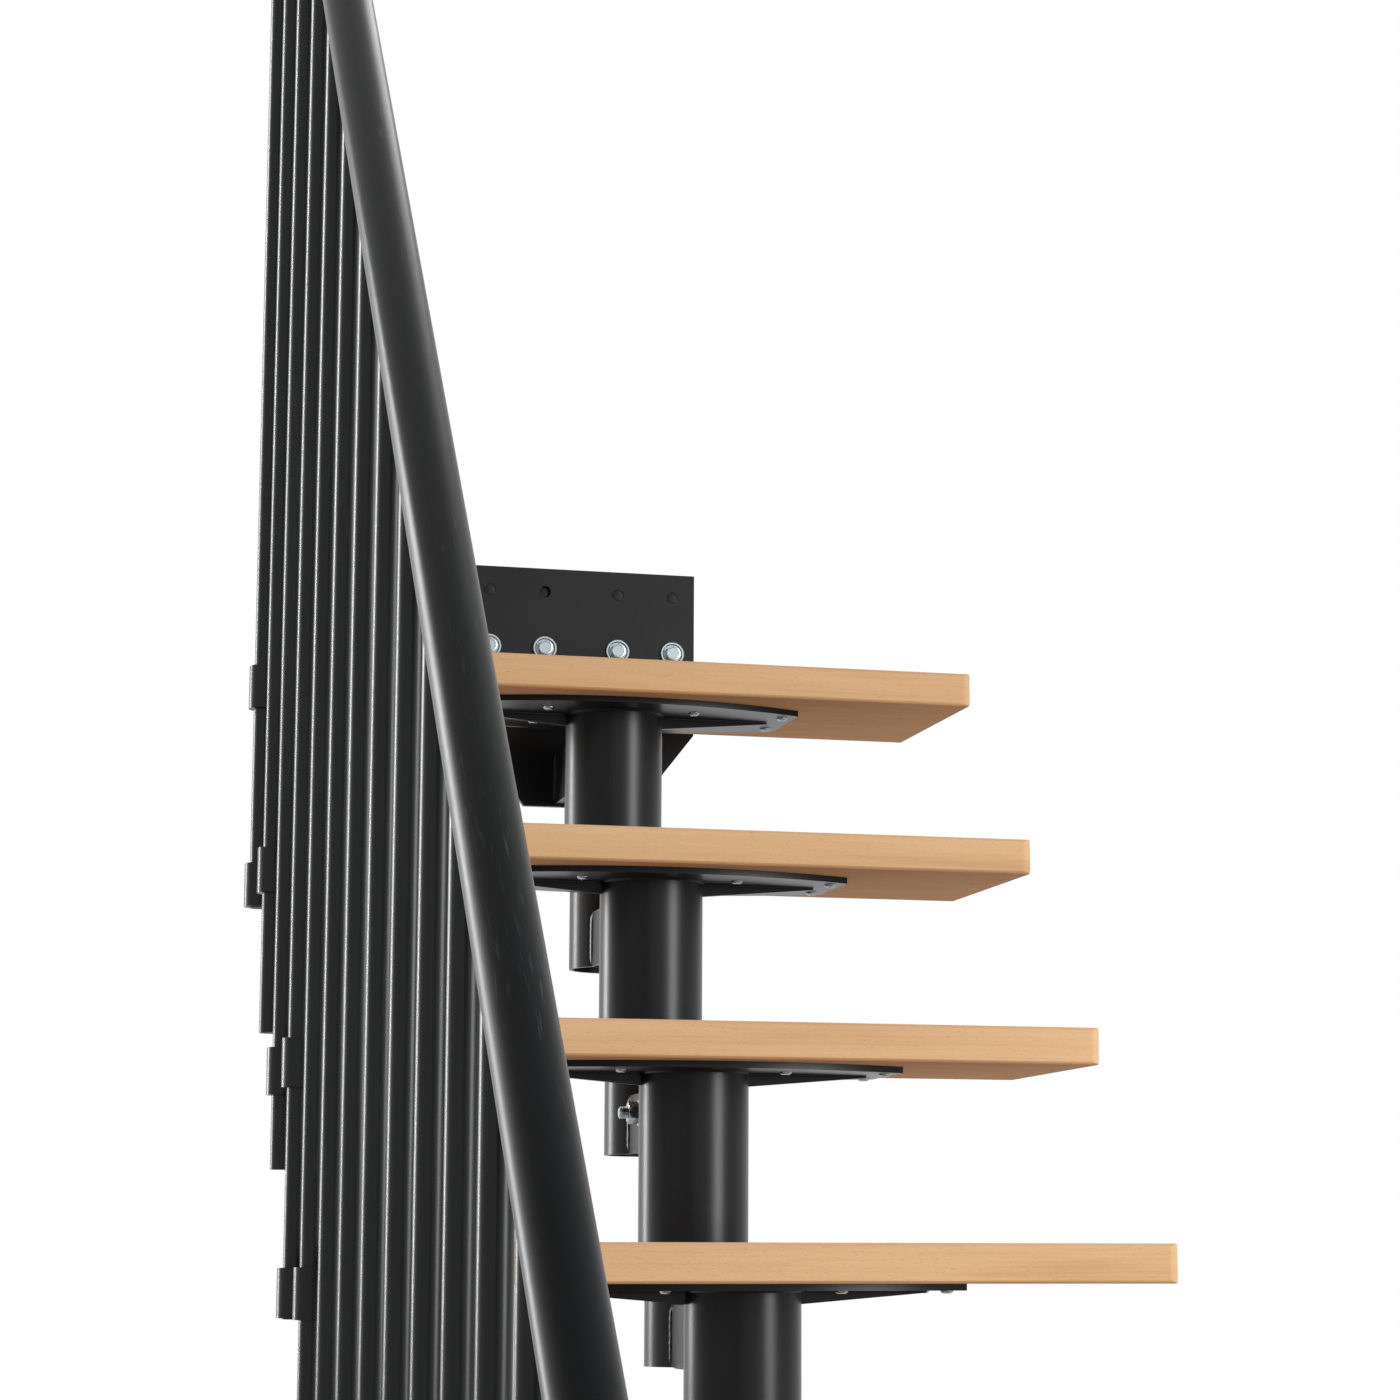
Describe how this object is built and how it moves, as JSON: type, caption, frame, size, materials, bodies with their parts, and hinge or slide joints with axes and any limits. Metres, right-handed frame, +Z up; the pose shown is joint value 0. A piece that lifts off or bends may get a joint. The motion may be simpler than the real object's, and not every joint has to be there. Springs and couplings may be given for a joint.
{
  "type": "modular staircase",
  "caption": "Straight centre-spine staircase: thick beech treads on telescoping black steel tube modules, a landing bracket plate and an upright tube rail on the left.",
  "frame": {"origin": "centre of the floor plate's underside, on the axis of the first tube", "axes": "+X to the right of a person going up, +Y level in the way up, +Z up"},
  "size_m": [0.7502, 2.0827, 3.1619],
  "materials": {
    "black_powder_coat": "satin black powder coat, slightly textured",
    "beech": "clear matt lacquer over laminated beech",
    "black_plastic": "moulded black plastic"
  },
  "bodies": {
    "root": {"floor_plate": "black_powder_coat", "spine_module_01": "black_powder_coat", "spine_module_02": "black_powder_coat", "spine_module_03": "black_powder_coat", "spine_module_04": "black_powder_coat", "spine_module_05": "black_powder_coat", "spine_module_06": "black_powder_coat", "spine_module_07": "black_powder_coat", "spine_module_08": "black_powder_coat", "spine_module_09": "black_powder_coat", "spine_module_10": "black_powder_coat", "tread_01": "beech", "tread_02": "beech", "tread_03": "beech", "tread_04": "beech", "tread_05": "beech", "tread_06": "beech", "tread_07": "beech", "tread_08": "beech", "tread_09": "beech", "tread_10": "beech", "landing_bracket": "black_powder_coat", "baluster_01": "black_powder_coat", "baluster_02": "black_powder_coat", "baluster_03": "black_powder_coat", "baluster_04": "black_powder_coat", "baluster_05": "black_powder_coat", "baluster_06": "black_powder_coat", "baluster_07": "black_powder_coat", "baluster_08": "black_powder_coat", "baluster_09": "black_powder_coat", "baluster_10": "black_powder_coat", "baluster_11": "black_powder_coat", "baluster_12": "black_powder_coat", "baluster_13": "black_powder_coat", "baluster_14": "black_powder_coat", "baluster_plugs": "black_plastic", "rail_collars": "black_powder_coat", "handrail": "black_powder_coat", "handrail_caps": "black_plastic"}
  },
  "joints": []
}
